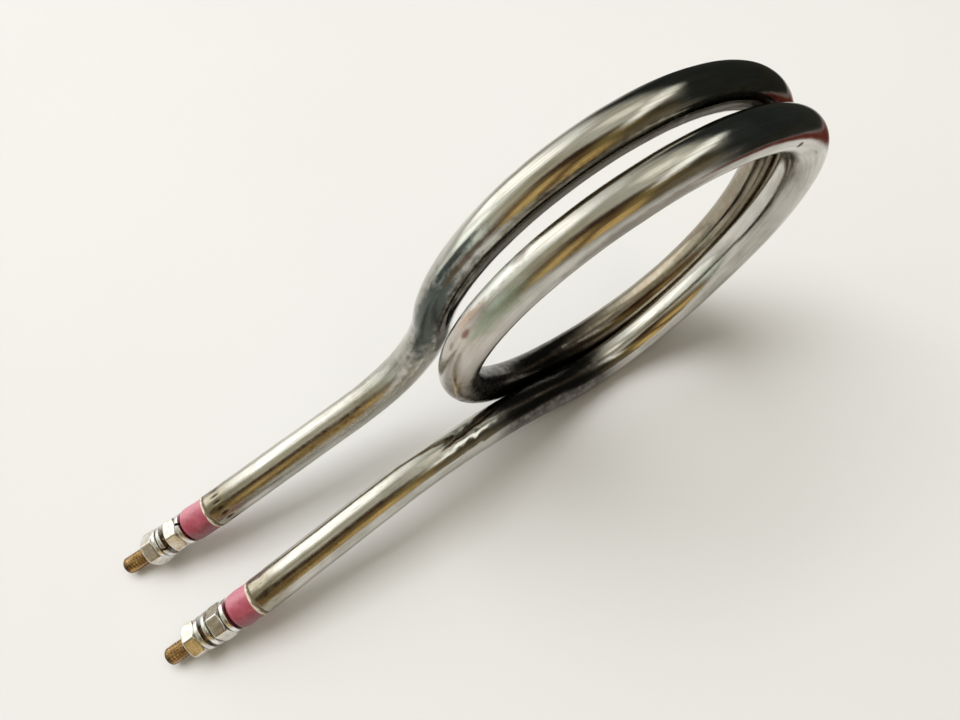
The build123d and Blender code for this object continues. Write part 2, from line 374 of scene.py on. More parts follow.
# ------------------------------------------------------------------ materials
def sheath_material():
    """Polished stainless tube: faint drawing lines, haze, smears, brown and dark painted shade on the lower
    turn and the back strand, painted reflections on the reverse bend, and painted shade in the hollows by the mouths."""
    m, t, b = material("sheath_steel")
    v = t.attr("local_mm")                       # (along the tube, round it, round it) in mm
    lines = t.noise(t.scaled(v, (0.06, 3.2, 3.2)), 1.0, 4, 0.6)
    fine = t.noise(t.scaled(v, (0.25, 11.0, 11.0)), 1.0, 3, 0.6)
    cloud = t.noise(t.scaled(v, (0.09, 0.22, 0.22)), 1.0, 4, 0.6, 0.6)
    smear = t.noise(t.scaled(v, (0.35, 0.6, 0.6)), 1.0, 5, 0.62, 1.4)
    mottle = t.noise(t.scaled(v, (0.55, 0.55, 0.55)), 1.0, 6, 0.68, 0.5)
    specks = t.n("ShaderNodeTexVoronoi", ins={"Vector": v, "Scale": 0.9}).outputs["Distance"]
    sep = t.n("ShaderNodeSeparateXYZ", ins={"Vector": v})
    s = sep.outputs[0]

    def zone(c, half, soft):
        return t.remap(t.math("ABSOLUTE", t.math("SUBTRACT", s, c)), half - soft, half + soft, 1.0, 0.0)

    torn = t.noise(t.scaled(v, (0.45, 0.8, 0.8)), 1.0, 4, 0.62)

    def patch(c, long, across, soft, ragged=0.5):
        """A ragged spot on the skin: 1 inside, 0 outside."""
        d = t.vmath("DIVIDE", t.vmath("SUBTRACT", v, c), (long, across, across))
        d = t.math("ADD", t.vmath("LENGTH", d), t.math("MULTIPLY", t.math("SUBTRACT", torn, 0.5), 2.6 * ragged))
        return t.remap(d, 1 - soft, 1 + soft, 1.0, 0.0)

    radius = t.vmath("LENGTH", t.n("ShaderNodeCombineXYZ", ins={"Y": sep.outputs[1], "Z": sep.outputs[2]}).outputs[0])
    near_b = t.remap(s, 3.0, 9.0, 1.0, 0.0)
    near_a = t.remap(s, LENGTH - 9.0, LENGTH - 3.5, 0.0, 1.0)
    close = t.math("MAXIMUM", near_a, near_b)
    ends = t.math("MULTIPLY", close, t.remap(smear, 0.3, 0.6, 0.6, 1.0))
    base = t.mix(t.remap(cloud, 0.35, 0.68), STEEL_A, STEEL_B)
    base = t.mix(t.remap(lines, 0.42, 0.75, 0.0, 0.5), base, STEEL_LINE)
    for c, half, soft, amount, tint in ZONES:
        z = t.math("MULTIPLY", zone(c, half, soft), t.remap(mottle, 0.28, 0.62, 0.75 * amount, amount))
        base = t.mix(z, base, rgb(*tint))
    base = t.mix(t.math("MULTIPLY", ends, 0.72), base, rgb(134, 124, 98))
    # painted shade: darker where the skin sinks in near the mouths, in the flutes, round the rim and in the bore
    recess_shade = t.math("MULTIPLY", t.remap(radius, TUBE_R - 0.17, TUBE_R - 0.04, 1.0, 0.0), close)
    base = t.mix(t.math("MULTIPLY", recess_shade, 0.9), base, rgb(50, 43, 30))
    dull = None
    for c, long, across, soft, amount, tint, matt in PATCHES:
        z = t.math("MULTIPLY", patch(c, long, across, soft), amount)
        base = t.mix(z, base, rgb(*tint))
        z = t.math("MULTIPLY", z, matt)
        dull = z if dull is None else t.math("MAXIMUM", dull, z)
    dark = t.remap(specks, 0.05, 0.13, 1.0, 0.0)
    rare = t.remap(t.noise(t.scaled(v, (0.5, 0.5, 0.5)), 1.0, 2), 0.56, 0.64)
    spots = t.math("MULTIPLY", dark, rare)
    base = t.mix(t.math("MULTIPLY", spots, 0.7), base, rgb(70, 62, 54))
    t.set(b, "Base Color", base)
    b.inputs["Metallic"].default_value = 1.0
    rough = t.math("ADD", t.remap(smear, 0.32, 0.72, ROUGH_LO, ROUGH_HI), t.remap(lines, 0.3, 0.8, -0.01, 0.025))
    rough = t.math("ADD", rough, t.math("MULTIPLY", ends, 0.13))
    rough = t.math("ADD", rough, dull)
    hazy = None
    for c, half, soft, amount in HAZY:
        z = t.math("MULTIPLY", zone(c, half, soft), t.remap(mottle, 0.36, 0.58, 0.15 * amount, amount))
        hazy = z if hazy is None else t.math("ADD", hazy, z)
    rough = t.math("ADD", rough, hazy)
    t.set(b, "Roughness", t.math("ADD", rough, t.math("MULTIPLY", spots, 0.2)))
    h = t.math("ADD", t.math("MULTIPLY", lines, 0.5), t.math("MULTIPLY", fine, 0.25))
    h = t.math("ADD", h, t.math("MULTIPLY", smear, 0.35))
    h = t.math("ADD", h, t.math("MULTIPLY", t.math("MULTIPLY", mottle, hazy), 3.2))
    t.set(b, "Normal", t.bump(h, 0.22, 0.00012))
    return m


def bright_plate(name, c0, c1, rough0, rough1, grime=0.5):
    """Plated steel hardware: turned or rolled marks, dull patches, patches of dirt."""
    m, t, b = material(name)
    v = t.attr("local_mm")
    cloud = t.noise(v, 0.7, 4, 0.6, 0.5)
    pits = t.noise(v, 7.0, 4, 0.65)
    marks = t.noise(t.scaled(v, (1.0, 1.0, 9.0)), 1.4, 3, 0.6)
    base = t.mix(t.remap(cloud, 0.38, 0.66), c0, c1)
    dirt = t.math("MULTIPLY", t.remap(t.noise(v, 1.9, 5, 0.7), 0.52, 0.72), grime)
    base = t.mix(dirt, base, rgb(92, 84, 72))
    t.set(b, "Base Color", base)
    b.inputs["Metallic"].default_value = 1.0
    r = t.math("ADD", t.remap(cloud, 0.35, 0.7, rough0, rough1), t.math("MULTIPLY", dirt, 0.25))
    t.set(b, "Roughness", r)
    h = t.math("ADD", t.math("MULTIPLY", pits, 0.5), t.math("MULTIPLY", marks, 0.5))
    t.set(b, "Normal", t.bump(h, 0.25, 0.00012))
    return m


def stud_material():
    """Tarnished plated stud: brown gold with darker streaks along it and a dark blunt tip."""
    m, t, b = material("stud_tarnished")
    v = t.attr("local_mm")
    streak = t.noise(t.scaled(v, (1.5, 1.5, 0.16)), 1.0, 4, 0.65)
    cloud = t.noise(v, 0.8, 4, 0.6, 0.6)
    tip = t.n("ShaderNodeAttribute", attribute_name="tip").outputs["Fac"]
    base = t.ramp(streak, [(0.32, rgb(74, 54, 38)[:3]), (0.46, rgb(128, 98, 62)[:3]),
                           (0.58, rgb(188, 152, 98)[:3]), (0.74, rgb(232, 204, 152)[:3])])
    base = t.mix(t.remap(cloud, 0.45, 0.75, 0.0, 0.65), base, rgb(84, 62, 42))
    base = t.mix(t.math("MULTIPLY", tip, 0.93), base, rgb(34, 26, 20))
    t.set(b, "Base Color", base)
    b.inputs["Metallic"].default_value = 1.0
    t.set(b, "Roughness", t.math("ADD", t.remap(cloud, 0.3, 0.7, 0.20, 0.36), t.math("MULTIPLY", tip, 0.20)))
    t.set(b, "Normal", t.bump(t.math("ADD", streak, t.noise(v, 5.0, 4, 0.7)), 0.35, 0.00015))
    return m


def seal_material():
    """Dusty rose silicone plug: mottled, slightly waxy, with scuffs and dust, a painted highlight on one side and
    painted shade on the other.
    """
    m, t, b = material("seal_silicone")
    v = t.attr("local_mm")
    mott = t.noise(v, 0.55, 5, 0.6, 0.8)
    fine = t.noise(v, 3.5, 4, 0.65)
    dust = t.noise(t.scaled(v, (1.0, 1.0, 0.5)), 1.6, 5, 0.7, 1.0)
    base = t.ramp(mott, [(0.24, rgb(148, 56, 76)[:3]), (0.48, rgb(168, 71, 92)[:3]),
                         (0.76, rgb(186, 91, 112)[:3])])
    base = t.mix(t.remap(fine, 0.54, 0.76, 0.0, 0.18), base, rgb(222, 160, 172))
    base = t.mix(t.remap(dust, 0.60, 0.78, 0.0, 0.30), base, rgb(216, 186, 186))
    # painted highlight: paler towards one side of the plug; painted shade: darker towards the other
    painted_light_side = t.math("DIVIDE", t.vmath("DOT_PRODUCT", v, (0.44, 0.90, 0.0)), 3.9)
    painted_light_side = t.math("ADD", painted_light_side, t.math("MULTIPLY", t.math("SUBTRACT", dust, 0.5), 0.9))
    base = t.mix(t.remap(painted_light_side, 0.10, 1.0, 0.0, 0.55), base, rgb(220, 150, 167))
    base = t.mix(t.remap(painted_light_side, -0.10, -0.9, 0.0, 0.72), base, rgb(122, 38, 58))
    t.set(b, "Base Color", base)
    t.set(b, "Roughness", t.remap(mott, 0.3, 0.7, 0.30, 0.46))
    b.inputs["Specular IOR Level"].default_value = 0.7
    b.inputs["Coat Weight"].default_value = 0.24
    b.inputs["Coat Roughness"].default_value = 0.26
    b.inputs["Subsurface Weight"].default_value = 0.12
    b.inputs["Subsurface Radius"].default_value = (0.0012, 0.0004, 0.0003)
    b.inputs["Subsurface Scale"].default_value = 1.0
    t.set(b, "Normal", t.bump(t.math("ADD", mott, t.math("MULTIPLY", fine, 0.4)), 0.45, 0.0003))
    return m


def bead_material():
    """Cream sealing compound with painted shade, in brown, where it meets the tube."""
    m, t, b = material("bead_compound")
    v = t.attr("local_mm")
    c = t.noise(v, 0.8, 4, 0.6, 0.5)
    grains = t.noise(v, 5.0, 4, 0.7)
    base = t.mix(t.remap(c, 0.4, 0.66), rgb(240, 236, 224), rgb(216, 206, 184))
    base = t.mix(t.remap(grains, 0.6, 0.75, 0.0, 0.6), base, rgb(150, 122, 90))
    across = t.n("ShaderNodeAttribute", attribute_name="across").outputs["Fac"]
    broad = t.noise(v, 0.32, 4, 0.7, 1.2)
    # painted shade: brown towards the tube side of the bead, with a ragged border
    edge = t.remap(t.math("ADD", across, t.math("MULTIPLY", t.math("SUBTRACT", broad, 0.5), 1.9)), 0.36, 0.60, 1.0, 0.0)
    base = t.mix(t.math("MULTIPLY", edge, 0.9), base, rgb(106, 86, 58))
    t.set(b, "Base Color", base)
    t.set(b, "Roughness", t.remap(grains, 0.3, 0.7, 0.5, 0.75))
    t.set(b, "Normal", t.bump(t.math("ADD", c, grains), 0.5, 0.0002))
    return m


def inner_material(name, c0, c1, rough, metal, scale):
    m, t, b = material(name)
    v = t.n("ShaderNodeTexCoord").outputs["Object"]
    a = t.noise(v, scale, 5, 0.65)
    g = t.noise(v, scale * 9, 4, 0.6)
    t.set(b, "Base Color", t.mix(t.remap(a, 0.35, 0.68), c0, c1))
    t.set(b, "Roughness", t.remap(g, 0.3, 0.7, rough, min(1.0, rough + 0.15)))
    b.inputs["Metallic"].default_value = metal
    t.set(b, "Normal", t.bump(g, 0.4, 0.0002))
    return m


def floor_material():
    """Pale plain floor.  Glossy rays see it greyer further out, with a red band and a dark band: a painted reflection
    of a darker room for the mirror-like pieces.
    """
    m, t, b = material("studio_floor")
    v = t.n("ShaderNodeTexCoord").outputs["Object"]
    a = t.noise(v, 3.0, 3, 0.5)
    g = t.noise(v, 260.0, 3, 0.6)
    plain = t.mix(t.remap(a, 0.3, 0.7), FLOOR_A, FLOOR_B)
    p = t.vmath("SUBTRACT", v, (0.045, -0.02, 0.0))
    sep = t.n("ShaderNodeSeparateXYZ", ins={"Vector": p})
    x, y = sep.outputs[0], sep.outputs[1]
    d = t.vmath("LENGTH", p)
    ang = t.math("ARCTAN2", y, x)
    wide = t.remap(t.math("ABSOLUTE", t.math("SUBTRACT", ang, 0.03)), 0.85, 1.25, 1.0, 0.0)
    left = t.remap(t.math("ABSOLUTE", t.math("ADD", ang, 0.35)), 0.5, 0.9, 1.0, 0.0)
    # painted reflection, seen only by glossy rays: greyer further out, a red band, a dark band
    dark = t.math("MULTIPLY", t.remap(d, 0.160, 0.200), wide)
    red = t.math("MULTIPLY", t.math("MULTIPLY", t.remap(d, 0.104, 0.124), t.remap(d, 0.160, 0.200, 1.0, 0.0)), left)
    far = t.remap(d, 0.16, 0.5, 0.0, 0.55)
    painted_reflection = t.mix(far, plain, rgb(150, 147, 142))
    painted_reflection = t.mix(red, painted_reflection, rgb(98, 41, 31))
    painted_reflection = t.mix(dark, painted_reflection, rgb(38, 39, 36))
    ray = t.n("ShaderNodeLightPath")
    t.set(b, "Base Color", t.mix(ray.outputs["Is Glossy Ray"], plain, painted_reflection))
    t.set(b, "Roughness", t.remap(g, 0.3, 0.7, 0.72, 0.82))
    b.inputs["Specular IOR Level"].default_value = 0.2
    t.set(b, "Normal", t.bump(g, 0.06, 0.0002))
    return m


FLOOR_A, FLOOR_B = rgb(232, 231, 231), rgb(228, 227, 227)
STEEL_A, STEEL_B, STEEL_LINE = rgb(206, 204, 198), rgb(180, 178, 171), rgb(146, 139, 123)
ROUGH_LO, ROUGH_HI = 0.055, 0.125
# along the tube (mm): middle, half length, softness, amount, colour
ZONES = [
    (385.0, 62.0, 26.0, 0.66, (122, 103, 70)),      # brown painted shade on the back lower strand, where the upper turn hides the window
    (310.0, 32.0, 12.0, 0.95, (50, 42, 37)),        # painted shade where the strands pass close
    (79.0, 18.0, 5.0, 0.92, (54, 46, 40)),         # painted shade beside it on the front strand
    (550.0, 11.0, 8.0, 0.22, (146, 146, 136)),      # grey-green patch at the reverse bend
    (268.0, 14.0, 8.0, 0.35, (200, 182, 174)),      # pale pinkish patch on the left turn
]
# ragged spots: centre (along, round, round), half length, half width, softness, amount,
# colour, added roughness
PATCHES = [
    ((514.0, -2.9, 2.7), 17.0, 3.0, 0.45, 0.92, (54, 66, 62), 0.10),      # painted reflection and shade of the neighbouring turn on the reverse bend's side
    ((499.0, -3.75, 1.3), 7.0, 0.65, 0.4, 0.8, (44, 60, 58), 0.0),        # painted reflection streaks above it: dark teal here, then a painted highlight, then brown
    # white painted highlight streak
    ((496.0, -3.9, 0.5), 7.0, 0.42, 0.4, 0.8, (236, 240, 232), 0.05),
    # brown painted reflection streak
    ((497.0, -2.9, 2.75), 7.0, 0.45, 0.4, 0.75, (92, 70, 50), 0.0),
    ((478.0, 0.2, 3.95), 30.0, 2.1, 0.4, 0.85, (60, 52, 37), 0.0),        # shaded side of the back strand
    # painted shade, continuing the shaded side of the back strand
    ((445.0, 0.6, 3.95), 17.0, 1.9, 0.4, 0.85, (48, 43, 35), 0.0),
    ((256.0, -3.6, -1.8), 4.5, 0.9, 0.5, 0.6, (206, 172, 144), 0.12),
    ((294.0, 3.7, 1.5), 9.0, 2.6, 0.4, 0.9, (40, 36, 35), 0.08),
    ((283.0, -3.2, 2.2), 8.0, 1.6, 0.5, 0.75, (86, 68, 48), 0.04),
    ((277.0, -2.7, 2.95), 6.0, 0.35, 0.4, 0.8, (226, 204, 158), 0.04),
    ((80.0, 3.3, -2.2), 12.0, 1.2, 0.4, 0.85, (34, 31, 30), 0.12),
    ((226.0, -1.0, 3.85), 14.0, 1.0, 0.45, 0.55, (80, 62, 46), 0.0),
    ((252.0, -3.7, 1.6), 8.0, 1.4, 0.5, 0.7, (146, 158, 136), 0.14),      # greenish smear
    ((250.0, -2.6, -3.0), 9.0, 1.9, 0.35, 0.95, (250, 252, 249), 0.24),    # bright near-white patch, rougher than the steel round it
    ((259.2, -4.0, 0.1), 1.3, 0.55, 0.5, 0.8, (120, 74, 54), 0.12),       # brown flecks
    ((264.4, -3.9, -0.7), 1.0, 0.5, 0.6, 0.55, (116, 92, 78), 0.12),
    ((244.0, -3.2, -2.5), 1.8, 0.9, 0.5, 0.55, (96, 66, 60), 0.12),
    ((192.8, -0.4, 3.98), 0.75, 0.55, 0.25, 0.97, (16, 14, 13), 0.25),    # small dark marks
    ((183.0, -0.3, 3.98), 1.2, 0.26, 0.4, 0.55, (112, 106, 102), 0.2),
]
HAZY = [(262.0, 30.0, 12.0, 0.10), (546.0, 20.0, 8.0, 0.09), (170.0, 26.0, 12.0, 0.07),
        (79.0, 18.0, 6.0, 0.14), (57.0, 9.0, 5.0, -0.02), (312.0, 28.0, 10.0, 0.15), (22.0, 24.0, 8.0, 0.10),
        (LENGTH - 24.0, 28.0, 10.0, 0.10)]
STEEL = sheath_material()
NUT = bright_plate("nut_plate", rgb(232, 230, 226), rgb(206, 198, 186), 0.15, 0.28, 0.26)
WASHER = bright_plate("washer_plate", rgb(236, 236, 234), rgb(208, 206, 202), 0.17, 0.30, 0.18)
STUD = stud_material()
SEAL = seal_material()
BEAD = bead_material()
MAGNESIA = inner_material("magnesia_powder", rgb(228, 226, 218), rgb(206, 202, 192), 0.8, 0.0, 400)
WINDING = inner_material("winding_wire", rgb(128, 116, 104), rgb(84, 74, 66), 0.4, 1.0, 900)


# ------------------------------------------------------------------ the sheath
def sheath():
    """The bent tube along its arcs: flattened a little in the bends, wrinkled inside the
    tight ones, dented here and there, and pinched in flutes just behind mouth A."""
    s_bend_b = STARTS[1]                      # leg B's straight ends here
    s_bend_a = STARTS[-2]                     # leg A's straight starts here
    marks = [0.0]
    s = 0.0
    while s < LENGTH:
        near_mouth = min(s, LENGTH - s) < 9.0
        near_bend = s_bend_b - 4 < s < s_bend_b + 60 or s_bend_a - 48 < s < s_bend_a + 6
        s += 0.22 if near_mouth else (0.45 if near_bend else 0.8)
        marks.append(min(s, LENGTH))
    marks = np.array(marks)
    n = 64
    th = np.linspace(0, 2 * np.pi, n, endpoint=False)
    big = waves(3, 14, 26.0, 0.020)
    mid = waves(4, 18, 9.0, 0.012)
    small = waves(5, 24, 4.5, 0.0050)
    creases = waves(6, 26, 3.4, 0.022)
    pts, tans, curls = [], [], []
    for q in marks:
        p, t, k = line_at(float(q))
        pts.append(p), tans.append(t), curls.append(k)
    pts, tans, curls = np.array(pts), np.array(tans), np.array(curls)
    w = np.exp(-0.5 * (np.arange(-8, 9) / 3.5) ** 2)
    w /= w.sum()
    pad = np.pad(curls, ((8, 8), (0, 0)), mode="edge")
    curls = np.stack([np.convolve(pad[:, i], w, mode="valid") for i in range(3)], 1)
    x = unit(np.cross(tans[0], (0, 1, 0)))
    verts, loc = [], []
    rings = 0

    def ring(p, x, y, radii, u):
        nonlocal rings
        verts.append(p + (radii * np.cos(th))[:, None] * x + (radii * np.sin(th))[:, None] * y)
        loc.append(np.c_[np.full(n, u), radii * np.cos(th), radii * np.sin(th)])
        rings += 1

    frames = []
    for i, (p, t, k, u) in enumerate(zip(pts, tans, curls, marks)):
        x = unit(x - (x @ t) * t)
        y = np.cross(t, x)
        frames.append((p, x, y, t))
        rad = np.cos(th)[:, None] * x + np.sin(th)[:, None] * y
        r = np.full(n, TUBE_R)
        kk = np.linalg.norm(k)
        side = rad @ (k / kk) if kk > 1e-6 else np.zeros(n)     # +1 on the inside of the bend
        r = r - 0.9 * kk * (side ** 2 - 0.5)                    # slight flattening
        end = min(u, LENGTH - u)
        calm = 1 - math.exp(-(end / 3.0) ** 2)
        skin = p + TUBE_R * rad
        r = r + calm * (big(skin) + mid(skin) + small(skin))
        # wrinkles on the inside of the two tight bends
        for c, half, depth, pitch, ph, rough_ in ((s_bend_b + 24.0, 7.0, 0.060, 2.6, 0.4, 2.2),
                                                  (s_bend_b + 13.0, 9.0, 0.016, 3.1, 0.4, 0.8),
                                                  (s_bend_b + 38.0, 8.0, 0.012, 3.6, 1.2, 0.5),
                                                  (s_bend_a - 17.0, 12.0, 0.014, 3.3, 0.9, 0.55)):
            g = math.exp(-((u - c) / half) ** 2)
            if g > 0.01:
                lobes = np.clip(side + 0.25, 0, 1) ** 1.2
                r = r + depth * g * lobes * np.sin(2 * np.pi * u / pitch + ph + 0.8 * np.sin(u * 0.41))
                r = r + g * rough_ * (0.35 + 0.65 * np.clip(side + 0.4, 0, 1)) * creases(skin)
        # a short run of slanting creases where leg B starts to turn
        g = math.exp(-((u - 56.0) / 5.5) ** 2)
        if g > 0.01:
            near = np.clip(np.cos(th) + 0.1, 0, 1)
            r = r - 0.060 * g * near * (0.5 + 0.5 * np.sin(8.0 * th + 0.9 * u + 1.2 * np.sin(0.9 * u))) ** 2
            r = r - 0.045 * g * near * (0.5 + 0.5 * np.sin(2.2 * u + 2.0 * np.sin(3 * th)))
        # flutes left by the tool that closed the tube round the seal
        for mouth_s, depth, count, ph, reach in ((LENGTH, 0.24, 15, 0.5, 3.0), (0.0, 0.08, 11, 0.2, 2.8)):
            d = abs(u - mouth_s)
            g = math.exp(-((d - 2.9) / (reach * 0.42)) ** 2)
            if g > 0.01:
                r = r - depth * g * (0.5 + 0.5 * np.cos(count * th + ph + 0.9 * np.sin(2 * th + 1.0))) ** 2.4
        ring(p, x, y, np.minimum(r, TUBE_R + 0.06), u)

    def rim(f, u, out):
        p, x, y, t = f
        steps = [(TUBE_R - 0.03, 0.07), (TUBE_R - 0.10, 0.13), (TUBE_R - 0.22, 0.17),
                 (BORE_R + 0.22, 0.17), (BORE_R + 0.08, 0.12), (BORE_R, 0.0)]
        if not out:
            steps = steps[::-1]
        for r, h in steps:
            q = p + t * (h - 0.17) * (1 if out else -1)
            ring(q, x, y, np.full(n, r), u)

    # the rounded rim takes the place of the last outer ring at each end
    verts.pop(0), loc.pop(0)
    verts.pop(), loc.pop()
    rings -= 2
    rim(frames[-1], LENGTH, True)
    for f, u in list(zip(frames, marks))[::-1][2:-2:3]:
        ring(f[0], f[1], f[2], np.full(n, BORE_R), u)
    rim(frames[0], 0.0, False)
    ob = make_mesh("sheath", np.vstack(verts), rings_to_faces(rings, n, True), np.vstack(loc))
    ob.data.materials.append(STEEL)
    return ob


# ------------------------------------------------------------------ terminal pieces
def nut(name, side, low, turn):
    """M4 hexagon nut with its corners chamfered, edges softened and a threaded hole."""
    af, t_, bore = 7.0, 3.2, 1.80
    corner = af / math.sqrt(3)
    edge = 0.97 * af / 2
    drop = (corner - edge) * math.tan(math.radians(28))
    dents = waves(hash_of(name), 10, 2.6, 0.012)

    def radial(th, r, h):
        if r < 3.0:
            if r < 1.9:        # thread in the hole
                return np.full(len(th), bore) - 0.10 * np.abs(((h / 0.7 + th / (2 * np.pi)) % 1.0) - 0.5)
            return np.full(len(th), float(r))
        p = 46.0
        c = np.stack([np.clip(np.cos(th - math.pi / 6 - k * math.pi / 3), 1e-6, 1) for k in range(6)])
        hexr = (af / 2) / (c ** p).sum(0) ** (1 / p)
        hexr = np.minimum(hexr, corner - 0.02)
        q = h - low
        d = min(q, t_ - q)
        cone = edge + d / math.tan(math.radians(28)) * 1.0
        m = 26.0
        soft = (hexr ** -m + max(cone, 0.1) ** -m) ** (-1 / m) + 0.0
        scale = r / corner
        rr = soft * scale
        q3 = np.c_[rr * np.cos(th), rr * np.sin(th), np.full(len(th), h)]
        return rr + dents(q3)

    profile = []
    zs = np.r_[0.0, 0.03, 0.09, 0.17, 0.27, 0.38, np.linspace(0.5, t_ - 0.5, 14), t_ - 0.38,
               t_ - 0.27, t_ - 0.17, t_ - 0.09, t_ - 0.03, t_]
    for z in zs:
        pull = 1.0
        d = min(z, t_ - z)
        if d < 0.09:
            pull = 1.0 - 0.02 * (1 - d / 0.09) ** 2
        profile.append((corner * pull, low + z))
    top = low + t_
    profile += [(2.9, top), (2.45, top - 0.015), (2.28, top - 0.05)]
    profile += [(1.95, top - 0.38)]
    profile += [(bore, z) for z in np.linspace(top - 0.5, low + 0.5, 26)]
    profile += [(1.95, low + 0.38), (2.28, low + 0.05), (2.45, low + 0.015), (2.9, low)]
    ob = lathe(name, side, profile, n=144, radial=radial, turn=turn, flat_angle=40)
    ob.data.materials.append(NUT)
    return ob


def hash_of(name):
    return sum(ord(c) * (i + 3) for i, c in enumerate(name)) % 9973


def flat_washer(name, side, low):
    w = waves(hash_of(name), 6, 6.0, 0.02)
    prof = rounded([(2.1, low), (3.85, low), (3.85, low + 0.9), (2.1, low + 0.9)], [0.06, 0.22, 0.14, 0.06])
    prof = refine(prof, 0.35)
    ob = lathe(name, side, prof, n=128,
               axial=lambda th, r, h: h + 0.02 * np.sin(2 * th + 1.0) * 0,
               radial=lambda th, r, h: r + (w(np.c_[3.8 * np.cos(th), 3.8 * np.sin(th), th * 0 + h]) if r > 3 else 0 * th),
               flat_angle=60)
    ob.data.materials.append(WASHER)
    return ob


def spring_washer(name, side, low, turn, section_w=1.60, section_t=0.98, rise=0.10):
    """A split ring of near-square section whose two ends stand a little apart."""
    o, x, y, z = placed(side)
    gap = math.radians(9.0)
    m = 110
    mean_r = 3.75 - section_w / 2
    prof = rounded([(-section_w / 2, -section_t / 2), (section_w / 2, -section_t / 2),
                    (section_w / 2, section_t / 2), (-section_w / 2, section_t / 2)],
                   [0.14, 0.20, 0.20, 0.14], steps=4)
    prof = refine(prof, 0.30)
    k = len(prof)
    verts, loc = [], []
    mid = low + 0.55
    for i in range(m + 1):
        f = i / m
        for r, h in prof:
            # the ends are cut on a slant
            slant = 0.42 * h / (section_t / 2) * 0.11
            t_ = gap / 2 + f * (2 * math.pi - gap) + slant
            a = t_ + math.radians(turn)
            lift = (f - 0.5) * rise
            rr = mean_r + r
            verts.append(o + rr * math.cos(a) * x + rr * math.sin(a) * y + (mid + h + lift) * z)
            loc.append((rr * math.cos(a), rr * math.sin(a), mid + h + lift))
    faces = []
    for i in range(m):
        for j in range(k):
            q = (j + 1) % k
            faces.append((i * k + j, (i + 1) * k + j, (i + 1) * k + q, i * k + q)[::-1])
    faces.append(tuple(range(k))[::-1][::-1])
    faces.append(tuple(m * k + j for j in range(k))[::-1])
    ob = make_mesh(name, verts, faces, loc, flat_angle=38)
    import bmesh
    bm = bmesh.new()
    bm.from_mesh(ob.data)
    bmesh.ops.recalc_face_normals(bm, faces=bm.faces)
    bm.to_mesh(ob.data)
    bm.free()
    ob.data.materials.append(WASHER)
    return ob


def stud(name, side):
    """The screw stud: shallow worn thread, blunt rounded and slightly uneven free end."""
    tip = STACK[side]["tip"]
    r0 = 1.93
    rough = waves(hash_of(name), 12, 2.4, 0.018)
    k = STACK[side]
    covered = [(k["nut_in"], k["nut_in"] + 3.2), (k["nut_out"], k["nut_out"] + 3.2)]
    zs = list(np.arange(2.2, tip - 0.85, 0.07))
    prof = [(0.6, 2.0), (1.3, 2.0), (1.70, 2.05)] + [(r0, z) for z in zs]
    for a in np.linspace(0.0, math.pi / 2, 9):
        prof.append((r0 - 0.80 + 0.80 * math.cos(a), tip - 0.80 + 0.80 * math.sin(a)))
    prof += [(0.75, tip - 0.005), (0.35, tip - 0.02)]

    def radial(th, r, h):
        rr = np.full(len(th), float(r))
        if 2.1 < h < tip - 0.2 and r > 1.6:
            saw = np.abs(((h / 0.7 - th / (2 * np.pi)) % 1.0) - 0.5) * 2
            depth = 0.16
            for a, b in covered:
                if a - 0.2 < h < b + 0.2:
                    depth = 0.30
            worn = 0.55 + 0.45 * np.clip((tip - 1.2 - h) / 2.5, 0, 1)
            rr = rr - depth * worn * saw
        if r > 0.3:
            rr = rr + rough(np.c_[rr * np.cos(th), rr * np.sin(th), np.full(len(th), h)])
        for a, b in covered:
            if a < h < b:
                rr = np.minimum(rr, 1.72)
        return np.minimum(rr, 1.95)

    def axial(th, r, h):
        if h > tip - 0.5:
            return h - 0.05 * (1 + np.cos(th + 0.9)) * min(1.0, (h - tip + 0.5) / 0.5)
        return np.full(len(th), float(h))

    ob = lathe(name, side, prof, n=72, radial=radial, axial=axial, close=False, flat_angle=62)
    me = ob.data
    co = np.zeros(len(me.vertices) * 3, np.float32)
    me.attributes["local_mm"].data.foreach_get("vector", co)
    h = co.reshape(-1, 3)[:, 2]
    a = me.attributes.new("tip", "FLOAT", "POINT")
    a.data.foreach_set("value", np.clip((h - (tip - 1.3)) / 1.1, 0, 1).astype(np.float32))
    me.materials.append(STUD)
    return ob


def end_seal(name, side):
    """Pink rubber plug: soft barrel, rolled outer edge, lumps and one smeared lip."""
    k = STACK[side]
    top = k["seal"]
    lumps = waves(hash_of(name), 14, 3.6, 0.045)
    base = rounded([(1.32, 0.35), (3.90, 0.35), (3.92, top), (1.32, top)], [0, 0.20, 1.15, 0], steps=9)
    base = refine(base, 0.22)
    lip = {"a": (-38.0, 4.2, 1.7, 0.10), "b": (24.0, 3.6, 1.3, 0.12)}[side]   # angle, height, size, lift
    toward = TOWARD[side]

    def radial(th, r, h):
        rr = np.full(len(th), float(r))
        if r < 2.4:
            return rr
        q = np.c_[rr * np.cos(th), rr * np.sin(th), np.full(len(th), h)]
        edge = min(1.0, max(0.0, (r - 2.4) / 1.0))
        rr = rr - 0.05 * edge + edge * lumps(q)
        d = np.radians(((np.degrees(th) - toward - lip[0] + 180) % 360) - 180) * 3.9
        bump_ = lip[3] * np.exp(-((d / lip[2]) ** 2) - ((h - lip[1] - 0.35 * d) / 0.55) ** 2)
        return np.minimum(rr + edge * bump_, 3.985)

    ob = lathe(name, side, base, n=120, radial=radial)
    ob.data.materials.append(SEAL)
    return ob


